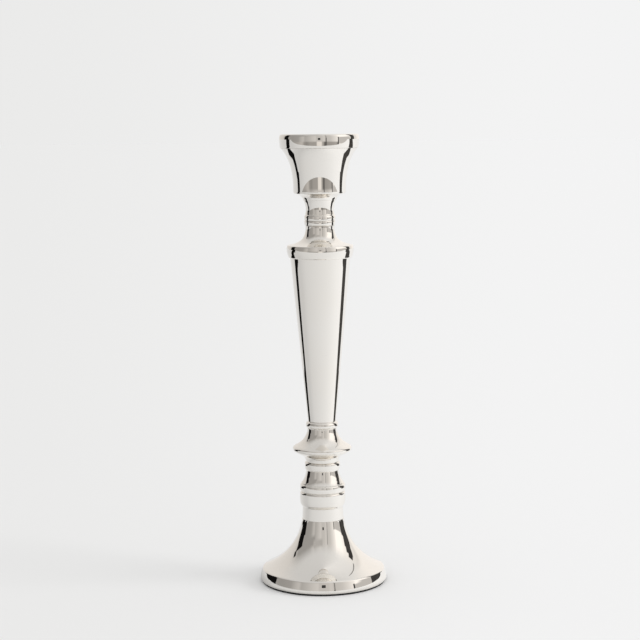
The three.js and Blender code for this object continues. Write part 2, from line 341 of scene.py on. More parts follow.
def makeCollarRing():
    # A flat-fronted ring over a fine groove.
    base, height = span("collarTop", "ringTop")
    shape = ringShape
    belly = shape["belly"]
    section("collar_ring_turned", "collar_bead", base, height, shape["foot"], [
        to(shape["foot"], shape["groove"], 0.15),
        bend((belly - 0.2, 0.4), (belly, 1.2), (belly, 2.6), 0),
        bend((belly, 3.4), (belly - 0.1, height - 1), (belly - 0.3, height - 0.5), 0.3),
        to(shape["top"], height, 0.1),
    ], edge=0.15)


makeCollarRing()

balusterShape = {"foot": 13.7, "head": 10.3}


def makeBaluster():
    # A concave drum that narrows upwards.
    base, height = span("ringTop", "balusterTop")
    foot, head = balusterShape["foot"], balusterShape["head"]
    section("baluster_turned", "baluster", base, height, foot - 0.2, [
        to(foot - 0.1, 0.5, 0.2),
        bend((foot - 1.3, 1.9), (head + 0.85, 4.1), (head, height), 0.15),
    ])


makeBaluster()

checkShape = {"foot": 10.5, "edge": 10.35, "wide": 11.38}


def makeCheckRing():
    # A ring with a plain front that turns over quickly at its top.
    base, height = span("balusterTop", "checkTop")
    shape = checkShape
    wide, edge = shape["wide"], shape["edge"]
    section("check_ring_turned", "check_ring", base, height, shape["foot"], [
        bend((wide - 0.2, 0.5), (wide, 1.6), (wide, height - 1.7), 0),
        bend((wide, height - 0.8), (edge + 0.75, height - 0.15), (edge, height), 0.12),
    ], edge=0.12)


makeCheckRing()

knopShape = {
    "edge": 18.8,
    "under": 10.4,
    "neck": 9.3,
    "rounding": 0.45,
    "saucerPulls": ((11.7, 5.4), (14.3, 4)),  # (radius, height) that the saucer's curve leans to
    "bellPulls": ((16.6, 2.75), (10.2, 5.2)),
}


def makeKnop():
    # A saucer below and a bell above, meeting at a thin rounded edge.
    shape = knopShape
    base, height = span("checkTop", "knopSplit")
    edge = shape["edge"]
    section("knop_saucer_turned", "knop_saucer", base, height, shape["under"], [
        bend(*shape["saucerPulls"], (edge - 0.25, height - 0.75), shape["rounding"]),
        to(edge, height, 0.02),
    ])
    base, height = span("knopSplit", "knopTop")
    section("knop_bell_turned", "knop_bell", base, height, edge, [
        to(edge - 0.05, 1.15, shape["rounding"]),
        to(edge - 1, 1.95, shape["rounding"]),
        bend(*shape["bellPulls"], (shape["neck"], height), 0.12),
    ], edge=0.02)


makeKnop()

columnBeadShape = {"edge": 9.3, "pull": 11}


def makeColumnBead():
    # A half-round bead under the column.
    base, height = span("knopTop", "columnBottom")
    edge, pull = columnBeadShape["edge"], columnBeadShape["pull"]
    section("column_bead_turned", "column_bead", base, height, edge, [
        to(edge, 0.5, 0.2),
        bend((pull - 0.25, 0.9), (pull - 0.3, height - 0.9), (edge - 0.1, height - 0.35), 0.15),
        to(edge - 0.2, height, 0.1),
    ])


makeColumnBead()

columnShape = {"foot": 8.95, "wall": 1.5, "plug": 9, "gap": 0.3}


def makeColumn():
    # A straight taper, open at both ends and centred by a plug in each.
    base, crown = level["columnBottom"], level["columnTop"]
    shape = columnShape
    foot, head, wall = shape["foot"], reach("column"), shape["wall"]
    tube = outline((foot - wall, base), [
        to(foot, base, 0.12),
        to(head, crown, 0.12),
        to(head - wall, crown, 0.12),
        to(foot - wall, base),
    ])
    place(turned("column_turned", tube), "column", "silver")
    taper, plug = (head - foot) / (crown - base), shape["plug"]
    for name, node, low, isHead in (
        ("foot_plug_turned", "column_foot_plug", 0, False),
        ("head_plug_turned", "column_head_plug", crown - base - plug, True),
    ):
        bottomR = foot + taper * low - wall - shape["gap"]
        runs = [to(bottomR + taper * plug, plug, 0.3)]
        section(name, node, base + low, plug, bottomR, runs, not isHead, isHead, edge=0.3)


makeColumn()

shoulderShape = {
    "under": 19.6,
    "band": 7.95,
    "rounding": 0.45,
    "neck": 9.15,
    "flarePulls": ((13.8, 9.4), (9.2, 10.8)),
}


def makeShoulder():
    # A canted band, a rounded edge and a flare up to the neck.
    base, height = span("columnTop", "shoulderTop")
    shape = shoulderShape
    edge, band = reach("shoulder_cap"), shape["band"]
    section("shoulder_turned", "shoulder_cap", base, height, shape["under"], [
        to(shape["under"] + 0.5, 0.5, 0.3),
        bend((edge - 0.55, 2), (edge, 3.6), (edge, 5.1), 0),
        bend((edge, 6.3), (edge - 0.2, 7.2), (edge - 0.5, band), shape["rounding"]),
        bend(*shape["flarePulls"], (shape["neck"], height), 0.08),
    ], edge=0.25)


makeShoulder()

neckShape = {
    "radius": 9.15,
    "throat": 10.4,
    "beadPull": 10.08,
    "waistPulls": ((8.7, 2.6), (8.7, 6)),
}


def makeNeck():
    # A double bead with a fine groove at its middle, then a waisted neck.
    shape = neckShape
    radius, pull = shape["radius"], shape["beadPull"]
    base, height = span("shoulderTop", "neckBeadTop")
    section("neck_bead_turned", "neck_bead", base, height, radius, [
        to(radius, 1, 0.2),
        bend((pull - 0.2, 1.2), (pull, 3.9), (radius + 0.42, 4.4), 0.12),
        bend((pull, 4.9), (pull - 0.2, 7.5), (radius, 7.9), 0.15),
        to(radius - 0.1, height, 0.08),
    ], edge=0.08)
    base, height = span("neckBeadTop", "cupBottom")
    section("neck_turned", "neck", base, height, radius, [
        bend(*shape["waistPulls"], (shape["throat"], height), 0.08),
    ], edge=0.08)


makeNeck()

cupShape = {
    "edge": 16.6,  # radius of the cup's lower edge
    "edgeHeight": 4.1,
    "sideTop": 24.2,  # radius where the side meets the moulding
    "lip": 23.4,
    "mouth": 22,
    "ledge": 278.6,  # the nozzle hangs here
    "ledgeR": 20.9,
    "floor": 249.5,
    "floorR": 12.6,  # radius of the flat part of the floor
    "wall": 1.9,
}


def makeCup():
    # A flared side over a dished underside, with a flat floor for the rod's nut.
    base = level["cupBottom"]
    shape = cupShape
    edge, lip, crown = shape["edge"], shape["lip"], top("candle_cup")
    mouth, ledge, ledgeR = shape["mouth"], shape["ledge"], shape["ledgeR"]
    inner, floor, floorR = edge - shape["wall"], shape["floor"], shape["floorR"]
    edgeTop, sideTop = base + shape["edgeHeight"], level["lipBottom"]
    path = [
        to(fit["spigot"], base - fit["spigotDrop"], 0.3),
        to(fit["spigot"], base, 0.1),
        to(neckShape["throat"], base, 0.08),
        bend((10.9, base + 2), (12.6, base + 3.6), (edge - 0.6, edgeTop), 0.45),
        to(edge, edgeTop + 0.9, 0.45),
        bend((edge - 0.1, base + 17.3), (edge + 2, base + 26.3), (shape["sideTop"], sideTop - 0.05), 0.2),
        to(lip, sideTop, 0.1),
        to(lip, crown, 0.15),
        to(mouth, crown, 0.15),
        to(mouth, ledge, 0.1),
        to(ledgeR, ledge, 0.25),
        to(ledgeR, sideTop - 0.3, 0.6),
        bend((edge + 0.9, base + 27.2), (inner, base + 16), (inner, floor + 2.4), 0.2),
        bend((inner, floor + 0.8), (inner - 0.8, floor), (floorR, floor), 0.2),
        to(fit["bore"], floor, 0.25),
        to(fit["bore"], base - fit["spigotDrop"]),
    ]
    start = (fit["bore"], base - fit["spigotDrop"])
    place(turned("candle_cup_turned", outline(start, path)), "candle_cup", "silver")


makeCup()

rimShape = {
    "foot": 24.5,
    "inner": 22.1,
    "gap": 0.3,  # between the moulding and the lip inside it
    "turn": 0.6,  # thickness where it turns over the lip
}


def makeRim():
    # A moulding round the lip: convex in front, turned over the top and down inside.
    base, crown = level["lipBottom"], level["rimTop"]
    shape, edge = rimShape, reach("rim_moulding")
    overLip, inner, under = cupShape["lip"] + shape["gap"], shape["inner"], crown - shape["turn"]
    path = [
        to(shape["foot"], base, 0.25),
        bend((edge - 0.05, base + 1.6), (edge, base + 3.4), (edge, base + 5.9), 0.5),
        bend((edge, crown - 0.9), (edge - 0.5, crown), (edge - 1.3, crown), 0.3),
        to(inner, crown, 0.3),
        to(inner, under, 0.15),
        to(overLip, under, 0.1),
        to(overLip, base),
    ]
    place(turned("rim_moulding_turned", outline((overLip, base), path)), "rim_moulding", "silver")


makeRim()

nozzleShape = {"bore": 11.4, "wall": 1.1, "floor": 1, "depth": 16.5, "flange": 1.2}


def makeNozzle():
    # A closed tube for the candle under a dish that hangs on the cup's ledge.
    base, crown = bottom("nozzle"), top("nozzle")
    shape, edge = nozzleShape, reach("nozzle")
    bore, tube, hang = shape["bore"], shape["bore"] + shape["wall"], cupShape["ledgeR"] - 0.6
    flange, floor = crown - shape["flange"], base + shape["floor"]
    mouth = floor + shape["depth"]
    path = [
        to(tube, base, 0.6),
        to(tube, mouth - 0.4, 0.8),
        bend((tube + 0.6, flange - 2.4), (tube + 2.4, flange - 0.3), (hang, flange), 0.3),
        to(edge, flange, 0.2),
        to(edge, crown, 0.3),
        to(edge - 1.3, crown, 0.4),
        bend((bore + 4.6, crown - 1.6), (bore + 1.1, crown - 2.9), (bore, mouth), 0.5),
        to(bore, floor, 0.4),
        to(0, floor),
    ]
    piece = turned("nozzle_turned", outline((0, base), path, closed=False), closed=False)
    place(piece, "nozzle", "silver", "nozzle")


makeNozzle()
print("silver sections turned:", len(pieces))

feltShape = {"rounding": 0.25}


def makeFelt():
    # A disc with a softly rounded edge.
    wide, thick = reach("felt_pad"), top("felt_pad")
    rounding = feltShape["rounding"]
    path = [to(wide, 0, rounding), to(wide, thick, rounding), to(0, thick)]
    piece = turned("felt_disc", outline((0, 0), path, closed=False), closed=False)
    place(piece, "felt_pad", "felt")


makeFelt()


def feed(tree, socket, value):
    # A socket takes another socket's link or a plain value.
    if isinstance(value, bpy.types.NodeSocket):
        tree.links.new(value, socket)
    else:
        socket.default_value = value


def calc(tree, operation, *values, clamp=False):
    made = tree.nodes.new("ShaderNodeMath")
    made.operation, made.use_clamp = operation, clamp
    for socket, value in zip(made.inputs, values):
        feed(tree, socket, value)
    return made.outputs[0]


def mixColour(tree, factor, a, b):
    made = tree.nodes.new("ShaderNodeMix")
    made.data_type = "RGBA"
    for index, value in ((0, factor), (6, a), (7, b)):
        feed(tree, made.inputs[index], value)
    return made.outputs[2]


def fitRange(tree, value, low, high, toLow=0.0, toHigh=1.0):
    # Carries a value from one range to another with eased ends.
    made = tree.nodes.new("ShaderNodeMapRange")
    made.interpolation_type = "SMOOTHSTEP"
    for socket, given in zip(made.inputs, (value, low, high, toLow, toHigh)):
        feed(tree, socket, given)
    return made.outputs[0]


def joinVector(tree, x, y, z):
    made = tree.nodes.new("ShaderNodeCombineXYZ")
    for socket, value in zip(made.inputs, (x, y, z)):
        feed(tree, socket, value)
    return made.outputs[0]


def splitVector(tree, vector):
    made = tree.nodes.new("ShaderNodeSeparateXYZ")
    feed(tree, made.inputs[0], vector)
    return made.outputs


def noise(tree, vector, scale, detail=2.0, roughness=0.5):
    made = tree.nodes.new("ShaderNodeTexNoise")
    feed(tree, made.inputs["Vector"], vector)
    for name, value in (("Scale", scale), ("Detail", detail), ("Roughness", roughness)):
        feed(tree, made.inputs[name], value)
    return made.outputs["Fac"]


def newGroup(name, inputs, outputs):
    # A shader node group with named sockets: inputs are (name, start value), outputs are names.
    group = bpy.data.node_groups.new(name, "ShaderNodeTree")
    for socketName, value in inputs:
        socket = group.interface.new_socket(socketName, in_out="INPUT", socket_type="NodeSocketFloat")
        socket.default_value = value
    for socketName in outputs:
        group.interface.new_socket(socketName, in_out="OUTPUT", socket_type="NodeSocketFloat")
    return group, group.nodes.new("NodeGroupInput").outputs, group.nodes.new("NodeGroupOutput").inputs


def placeGroup(tree, group, **values):
    made = tree.nodes.new("ShaderNodeGroup")
    made.node_tree = group
    for socketName, value in values.items():
        feed(tree, made.inputs[socketName], value)
    return made.outputs


def objectPoint(tree):
    return tree.nodes.new("ShaderNodeTexCoord").outputs["Object"]


def buildLatheLines():
    # Fine rings left by turning and polishing: noise that changes fast along the outline and
    # slowly round the piece. Bands gathers them into brighter and duller zones.
    inputs = [("Along", 0), ("PerMm", 6), ("BandsPerMm", 0.45), ("Stretch", 3)]
    group, given, result = newGroup("latheLines", inputs, ["Height", "Bands"])
    x, y, z = splitVector(group, objectPoint(group))
    squares = calc(group, "ADD", calc(group, "MULTIPLY", x, x), calc(group, "MULTIPLY", y, y))
    radius = calc(group, "MAXIMUM", calc(group, "SQRT", squares), 0.0005)  # never 0, so it can divide
    roundX = calc(group, "MULTIPLY", calc(group, "DIVIDE", x, radius), given["Stretch"])
    roundY = calc(group, "MULTIPLY", calc(group, "DIVIDE", y, radius), given["Stretch"])
    fine = joinVector(group, roundX, roundY, calc(group, "MULTIPLY", given["Along"], given["PerMm"]))
    broad = joinVector(group, roundX, roundY, calc(group, "MULTIPLY", given["Along"], given["BandsPerMm"]))
    feed(group, result["Height"], noise(group, fine, 1.0, 3.0, 0.6))
    feed(group, result["Bands"], fitRange(group, noise(group, broad, 1.0, 2.0), 0.35, 0.7))
    return group


def buildHandling():
    # What handling leaves: Smudge is a thin film in soft patches, Scratch is sparse hairlines.
    # A hairline is the thin zero line of a stretched noise, kept only inside scattered patches.
    group, given, result = newGroup("handling", [("Size", 1), ("Density", 0.5)], ["Smudge", "Scratch"])
    point = objectPoint(group)
    patches = noise(group, point, calc(group, "DIVIDE", 55.0, given["Size"]), 3.0, 0.55)
    low = calc(group, "SUBTRACT", 0.75, calc(group, "MULTIPLY", given["Density"], 0.3))
    feed(group, result["Smudge"], fitRange(group, patches, low, calc(group, "ADD", low, 0.22)))
    lines = []
    for turn, lean in ((0.4, 0.9), (2.1, -0.5), (1.2, 0.2)):  # three directions, in radians
        mapping = group.nodes.new("ShaderNodeMapping")
        mapping.inputs["Rotation"].default_value = (lean, turn, lean * turn)
        mapping.inputs["Scale"].default_value = (900, 40, 900)  # long and thin
        feed(group, mapping.inputs["Vector"], point)
        stretched = noise(group, mapping.outputs[0], 1.0, 0.0)
        offLine = calc(group, "ABSOLUTE", calc(group, "SUBTRACT", stretched, 0.5))
        lines.append(fitRange(group, offLine, 0.006, 0.0))
    every = calc(group, "MAXIMUM", calc(group, "MAXIMUM", lines[0], lines[1]), lines[2])
    where = fitRange(group, noise(group, point, 130.0, 1.0), 0.56, 0.66)
    feed(group, result["Scratch"], calc(group, "MULTIPLY", every, where))
    return group


def buildTarnishAndShade():
    # Grey-brown bloom that stays where a cloth doesn't reach, with painted shade laid over it: inside
    # corners and fine grooves.
    group, given, result = newGroup("tarnishAndShade", [("Hollow", 0), ("Amount", 0.5)], ["Mask", "Film"])
    point = objectPoint(group)
    ragged = noise(group, point, 420.0, 3.0, 0.6)
    wander = calc(group, "MULTIPLY", calc(group, "SUBTRACT", ragged, 0.5), 0.3)
    corner = fitRange(group, calc(group, "ADD", given["Hollow"], wander), 0.1, 0.55)
    feed(group, result["Mask"], calc(group, "MULTIPLY", corner, given["Amount"], clamp=True))
    feed(group, result["Film"], fitRange(group, noise(group, point, 26.0, 2.0), 0.38, 0.72))
    return group


def buildDust():
    # Specks and a faint film on faces that look up.
    group, given, result = newGroup("dust", [("Amount", 0.3)], ["Mask"])
    point = objectPoint(group)
    normal = group.nodes.new("ShaderNodeNewGeometry").outputs["Normal"]
    up = fitRange(group, splitVector(group, normal)[2], 0.35, 0.95)
    specks = group.nodes.new("ShaderNodeTexVoronoi")
    feed(group, specks.inputs["Vector"], point)
    specks.inputs["Scale"].default_value = 700
    dots = fitRange(group, specks.outputs["Distance"], 0.16, 0.06)
    sparse = fitRange(group, noise(group, point, 190.0, 2.0), 0.55, 0.7)
    film = calc(group, "MULTIPLY", fitRange(group, noise(group, point, 60.0, 3.0), 0.4, 0.8), 0.25)
    both = calc(group, "MAXIMUM", calc(group, "MULTIPLY", dots, sparse), film)
    lying = calc(group, "MULTIPLY", both, up)
    feed(group, result["Mask"], calc(group, "MULTIPLY", lying, given["Amount"]))
    return group


latheLines, handling, tarnishAndShade, dust = buildLatheLines(), buildHandling(), buildTarnishAndShade(), buildDust()


def roughened(tree, start, masks):
    # Adds to a roughness: each mask brings its own amount.
    total = start
    for mask, amount in masks:
        total = calc(tree, "ADD", total, calc(tree, "MULTIPLY", mask, amount))
    return total


def newMaterial(name):
    material = bpy.data.materials.new(name)
    material.use_nodes = True
    tree = material.node_tree
    return material, tree, tree.nodes["Principled BSDF"]


def makeMatte(shader):
    # Takes away every shine.
    shader.inputs["Roughness"].default_value = 1
    shader.inputs["Specular IOR Level"].default_value = 0


def attribute(tree, name):
    made = tree.nodes.new("ShaderNodeAttribute")
    made.attribute_name = name
    return made.outputs["Fac"]


def bump(tree, height, distance, onTop=None):
    # Relief of a given depth in metres, laid over another relief's normal if there is one.
    made = tree.nodes.new("ShaderNodeBump")
    made.inputs["Distance"].default_value = distance
    feed(tree, made.inputs["Height"], height)
    if onTop is not None:
        feed(tree, made.inputs["Normal"], onTop)
    return made.outputs[0]


silverLook = {
    "plate": (0.9, 0.874, 0.832, 1),  # clean plate
    "warm": (0.88, 0.842, 0.782, 1),  # where a film has begun to yellow
    "grimeAndShade": (0.2, 0.175, 0.15, 1),  # tarnish and painted shade in the corners
    "smudged": (0.84, 0.825, 0.8, 1),
    "dusty": (0.75, 0.74, 0.72, 1),
    "warmShare": 0.35,
    "smudgeShare": 0.12,
    "roughness": 0.012,  # of clean plate; the next five add to it
    "bandRough": 0.015,
    "smudgeRough": 0.045,
    "scratchRough": 0.12,
    "tarnishRough": 0.35,
    "dustRough": 0.35,
    "dustCover": 0.8,  # how much of the metal a speck hides
    "ringsPerMm": 5.0,
    "ringDepth": 0.00000035,
    "wave": 0.000012,  # depth of the slow ripple that polishing leaves
    "waveScale": 75,
    "scratchDepth": 0.0000006,
    "handling": 0.5,
    "tarnishAndShade": 0.8,
    "dust": 0.3,
}


def makeSilver():
    # Mirror-polished plate with what use leaves on it: smudges, hairlines, bloom and dust, with painted
    # shade in its inside corners.
    material, tree, shader = newMaterial("polished_silver")
    look = silverLook
    rings = placeGroup(tree, latheLines, Along=attribute(tree, "along"), PerMm=look["ringsPerMm"])
    marks = placeGroup(tree, handling, Density=look["handling"])
    bloomAndShade = placeGroup(tree, tarnishAndShade, Hollow=attribute(tree, "hollow"), Amount=look["tarnishAndShade"])
    specks = placeGroup(tree, dust, Amount=look["dust"])["Mask"]
    warmed = calc(tree, "MULTIPLY", bloomAndShade["Film"], look["warmShare"])
    plate = mixColour(tree, warmed, look["plate"], look["warm"])
    smudged = calc(tree, "MULTIPLY", marks["Smudge"], look["smudgeShare"])
    dulled = mixColour(tree, smudged, plate, look["smudged"])
    # Inside corners and grooves go dark: tarnish together with painted shade.
    dirtyAndShaded = mixColour(tree, bloomAndShade["Mask"], dulled, look["grimeAndShade"])
    feed(tree, shader.inputs["Base Color"], mixColour(tree, specks, dirtyAndShaded, look["dusty"]))
    feed(tree, shader.inputs["Roughness"], roughened(tree, look["roughness"], (
        (rings["Bands"], look["bandRough"]),
        (marks["Smudge"], look["smudgeRough"]),
        (marks["Scratch"], look["scratchRough"]),
        (bloomAndShade["Mask"], look["tarnishRough"]),
        (specks, look["dustRough"]),
    )))
    hidden = calc(tree, "MULTIPLY", specks, look["dustCover"])
    feed(tree, shader.inputs["Metallic"], calc(tree, "SUBTRACT", 1.0, hidden))
    ripple = bump(tree, noise(tree, objectPoint(tree), look["waveScale"], 1.0), look["wave"])
    ringed = bump(tree, rings["Height"], look["ringDepth"], ripple)
    scored = calc(tree, "SUBTRACT", 1.0, marks["Scratch"])
    feed(tree, shader.inputs["Normal"], bump(tree, scored, look["scratchDepth"], ringed))
    return material


feltLook = {
    "dark": (0.003, 0.003, 0.003, 1),
    "light": (0.014, 0.014, 0.015, 1),
    "fibreScale": 2600.0,
    "clumpScale": 260.0,
    "fibreDepth": 0.00012,
    "sheen": 0.08,
    "sheenRoughness": 0.6,
}


def makeFeltMaterial():
    # Matted wool: two sizes of fibre noise, with a soft bloom at grazing angles.
    material, tree, shader = newMaterial("black_felt")
    point, look = objectPoint(tree), feltLook
    fibres = noise(tree, point, look["fibreScale"], 4.0, 0.7)
    clumps = noise(tree, point, look["clumpScale"], 2.0)
    raisedFibre = fitRange(tree, calc(tree, "MULTIPLY", fibres, clumps), 0.12, 0.4)
    feed(tree, shader.inputs["Base Color"], mixColour(tree, raisedFibre, look["dark"], look["light"]))
    feed(tree, shader.inputs["Roughness"], fitRange(tree, fibres, 0.2, 0.8, 0.85, 1.0))
    shader.inputs["Sheen Weight"].default_value = look["sheen"]
    shader.inputs["Sheen Roughness"].default_value = look["sheenRoughness"]
    feed(tree, shader.inputs["Normal"], bump(tree, fibres, look["fibreDepth"]))
    return material


steelLook = {
    "bright": (0.58, 0.59, 0.6, 1),
    "dull": (0.36, 0.37, 0.38, 1),
    "oil": (0.1, 0.08, 0.06, 1),
    "mottleScale": 380.0,
    "roughness": 0.27,
    "smudgeRough": 0.2,
    "bandRough": 0.1,
    "ringsPerMm": 3.0,
    "ringDepth": 0.000004,
    "handling": 0.9,
    "smudgeSize": 0.6,
    "oiled": 0.8,
}


def makeSteel():
    # Zinc-plated steel: dull mottling, turning marks and a little oil in the corners.
    material, tree, shader = newMaterial("plated_steel")
    point, look = objectPoint(tree), steelLook
    marks = placeGroup(tree, handling, Density=look["handling"], Size=look["smudgeSize"])
    rings = placeGroup(tree, latheLines, Along=attribute(tree, "along"), PerMm=look["ringsPerMm"])
    bloomAndShade = placeGroup(tree, tarnishAndShade, Hollow=attribute(tree, "hollow"), Amount=look["oiled"])
    mottled = mixColour(tree, noise(tree, point, look["mottleScale"], 3.0), look["bright"], look["dull"])
    feed(tree, shader.inputs["Base Color"], mixColour(tree, bloomAndShade["Mask"], mottled, look["oil"]))
    shader.inputs["Metallic"].default_value = 1
    feed(tree, shader.inputs["Roughness"], roughened(tree, look["roughness"], (
        (marks["Smudge"], look["smudgeRough"]),
        (rings["Bands"], look["bandRough"]),
    )))
    feed(tree, shader.inputs["Normal"], bump(tree, rings["Height"], look["ringDepth"]))
    return material


ironLook = {
    "paint": (0.018, 0.017, 0.016, 1),
    "rust": (0.16, 0.06, 0.025, 1),
    "grainScale": 900.0,
    "grainDepth": 0.0004,
    "patchScale": 90.0,
}


def makeIron():
    # Black-painted sand casting: coarse pitted skin with rust showing on the high grains.
    material, tree, shader = newMaterial("cast_iron_black")
    point, look = objectPoint(tree), ironLook
    grains = noise(tree, point, look["grainScale"], 4.0, 0.65)
    patches = noise(tree, point, look["patchScale"], 3.0)
    rust = calc(tree, "MULTIPLY", fitRange(tree, grains, 0.56, 0.7), fitRange(tree, patches, 0.5, 0.65))
    feed(tree, shader.inputs["Base Color"], mixColour(tree, rust, look["paint"], look["rust"]))
    feed(tree, shader.inputs["Roughness"], fitRange(tree, patches, 0.3, 0.7, 0.5, 0.8))
    feed(tree, shader.inputs["Normal"], bump(tree, grains, look["grainDepth"]))
    return material


finishes = {"silver": makeSilver(), "felt": makeFeltMaterial(), "steel": makeSteel(), "iron": makeIron()}


def finishPieces():
    # Every turned piece and every hidden one that keeps its own mesh takes its slot's finish.
    for piece in pieces:
        piece.data.materials.append(finishes[piece["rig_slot"]])
    slotOf = {part["node"]: part["material_slot"] for part in frame["record"]["subparts"]}
    for name, cadNode in frame["nodes"].items():
        if not cadNode.hide_render:
            cadNode.data.materials.clear()
            cadNode.data.materials.append(finishes[slotOf[name]])


finishPieces()
print("finishes made:", len(finishes))

# Where the camera stands, in metres and degrees.
cameraView = {"place": (-0.0006, -1.006, 0.285), "lens": 90, "sensor": 36, "pitch": 6.63, "roll": -0.6}

# The studio. Brightness values are as seen, from 0 to 255; shade() makes them light.
reflectance = 0.87  # of the silver, so a surface it mirrors looks as bright as listed


def light(seen):
    return ((seen / 255 + 0.055) / 1.055) ** 2.4


def shade(seen, warmth=0.0):
    value = light(seen) / reflectance
    return (value * (1 + warmth), value, value * (1 - warmth), 1)


# Each band goes round the horizon: (degrees to the right of the camera, brightness).
studio = {
    "walls": [
        (-180, 227), (-171, 216), (-150, 206), (-130, 198), (-104, 150), (-84, 143), (-62, 150),
        (-53, 172), (-46, 182), (-41, 163), (-33, 172), (-18, 190), (-10, 196), (-9, 186), (0, 184),
        (9, 188), (12, 196), (14, 196), (24, 186), (34, 192), (47, 214), (58, 234), (61, 252),
        (86, 254), (95, 242), (132, 216), (140, 236), (171, 237), (180, 227),
    ],
    "ceiling": [
        (-180, 195), (-90, 198), (-30, 200), (0, 204), (35, 212), (80, 226), (120, 222), (150, 214),
        (180, 195),
    ],
    "under": [
        (-180, 229), (-130, 205), (-90, 150), (-66, 158), (-53, 176), (-48, 170), (-44, 144),
        (-36, 132), (-26, 150), (-8, 152), (-5.5, 214), (5, 218), (7, 214), (8.5, 170), (12, 160),
        (15, 110), (18, 92), (24, 142), (50, 158), (57, 120), (60, 228), (90, 234), (180, 229),
    ],
    "cards": [  # centre, width, lowest, highest, softness, brightness
        (-76, 72, 24, 41, 6, 146),
        (-25, 44, 32, 45, 6, 168),
        (79, 42, -6, 12, 2, 184),
        (20, 2.4, 4, 42, 0.8, 130),
        (20, 3, -14, 4, 0.8, 85),
        (57, 3, -14, 13, 0.8, 45),
        (-109, 20, -3, 30, 1.5, 15),
        (-119.5, 6, 28, 37, 1.5, 25),
        (112, 19, -3, 38, 1.5, 62),
        (114.5, 12, 30, 44, 1.5, 55),
    ],
    "wallWarmth": 0.04,
    "ceilingWarmth": 0.01,
    "underWarmth": 0.055,
    "toCeiling": (36.0, 62.0),  # elevations between which the walls turn into the ceiling
    "toUnder": (-1.5, -4.5),
}


def buildCard():
    # A soft-edged card on the sky: 1 inside its width and height, 0 outside.
    across = [("Azimuth", 0), ("Centre", 0), ("Width", 10)]
    upright = [("Elevation", 0), ("Low", -90), ("High", 90)]
    group, given, result = newGroup("studioCard", across + upright + [("Soft", 2)], ["Mask"])
    off = calc(group, "ABSOLUTE", calc(group, "SUBTRACT", given["Azimuth"], given["Centre"]))
    inside = calc(group, "SUBTRACT", calc(group, "MULTIPLY", given["Width"], 0.5), off)
    mask = None
    aboveLow = calc(group, "SUBTRACT", given["Elevation"], given["Low"])
    belowHigh = calc(group, "SUBTRACT", given["High"], given["Elevation"])
    for distance in (inside, aboveLow, belowHigh):
        edge = calc(group, "ADD", calc(group, "DIVIDE", distance, given["Soft"]), 0.5, clamp=True)
        mask = edge if mask is None else calc(group, "MULTIPLY", mask, edge)
    feed(group, result["Mask"], mask)
    return group


def azimuthOf(tree, x, y):
    # Degrees to the right of the camera, seen from the object.
    return calc(tree, "DEGREES", calc(tree, "ARCTAN2", x, calc(tree, "MULTIPLY", y, -1.0)))


def bandRamp(tree, azimuth, stops, warmth):
    # One band as a colour ramp, from -180 degrees at its start to 180 at its end.
    made = tree.nodes.new("ShaderNodeValToRGB")
    ramp = made.color_ramp
    ramp.elements.remove(ramp.elements[-1])
    for index, (degrees, seen) in enumerate(stops):
        position = (degrees + 180) / 360
        stop = ramp.elements[0] if index == 0 else ramp.elements.new(position)
        stop.position, stop.color = position, shade(seen, warmth)
    feed(tree, made.inputs[0], calc(tree, "DIVIDE", calc(tree, "ADD", azimuth, 180.0), 360.0))
    return made.outputs[0]


paperLook = {
    # left and right are painted shade and light: the paper darkens towards the left.
    "left": (light(234.5), light(234.3), light(233.5), 1),
    "right": (light(243), light(243), light(243), 1),
    "change": (-0.24, 0.168),  # where it changes from left to right, as width over distance
    "nearest": 0.2,  # no distance is taken as less than this, in metres
    "grain": 0.015,
    "ambient": 0.885,  # part of its light that comes from all round; the window gives the rest
}


def paperPaintedFalloff(tree, x, distance):
    # Painted shade and light on the paper: darker to the left, away from the window, and lighter to the
    # right. It changes from one side to the other by width over distance.
    across = calc(tree, "DIVIDE", x, calc(tree, "MAXIMUM", distance, paperLook["nearest"]))
    share = fitRange(tree, across, *paperLook["change"])
    return mixColour(tree, share, paperLook["left"], paperLook["right"])


def makeWorld():
    # The silver sees the studio, the camera sees paper, and everything else gets even light.
    world = bpy.data.worlds.new("studio")
    bpy.context.scene.world = world
    world.use_nodes = True
    tree = world.node_tree
    tree.nodes.clear()
    x, y, z = splitVector(tree, tree.nodes.new("ShaderNodeTexCoord").outputs["Generated"])
    azimuth = azimuthOf(tree, x, y)
    elevation = calc(tree, "DEGREES", calc(tree, "ARCSINE", z))
    walls = bandRamp(tree, azimuth, studio["walls"], studio["wallWarmth"])
    ceiling = bandRamp(tree, azimuth, studio["ceiling"], studio["ceilingWarmth"])
    under = bandRamp(tree, azimuth, studio["under"], studio["underWarmth"])
    room = mixColour(tree, fitRange(tree, elevation, *studio["toCeiling"]), walls, ceiling)
    room = mixColour(tree, fitRange(tree, elevation, *studio["toUnder"]), room, under)
    card = buildCard()
    for centre, width, low, high, soft, seen in studio["cards"]:
        made = placeGroup(tree, card, Azimuth=azimuth, Elevation=elevation, Centre=centre, Width=width,
            Low=low, High=high, Soft=soft)
        room = mixColour(tree, made["Mask"], room, shade(seen, studio["wallWarmth"]))
    paths = tree.nodes.new("ShaderNodeLightPath").outputs
    ambient = (paperLook["ambient"],) * 3 + (1,)
    seenByEye = mixColour(tree, paths["Is Camera Ray"], ambient, paperPaintedFalloff(tree, x, y))
    colour = mixColour(tree, paths["Is Glossy Ray"], seenByEye, room)
    background = tree.nodes.new("ShaderNodeBackground")
    feed(tree, background.inputs["Color"], colour)
    output = tree.nodes.new("ShaderNodeOutputWorld")
    tree.links.new(background.outputs[0], output.inputs["Surface"])


makeWorld()

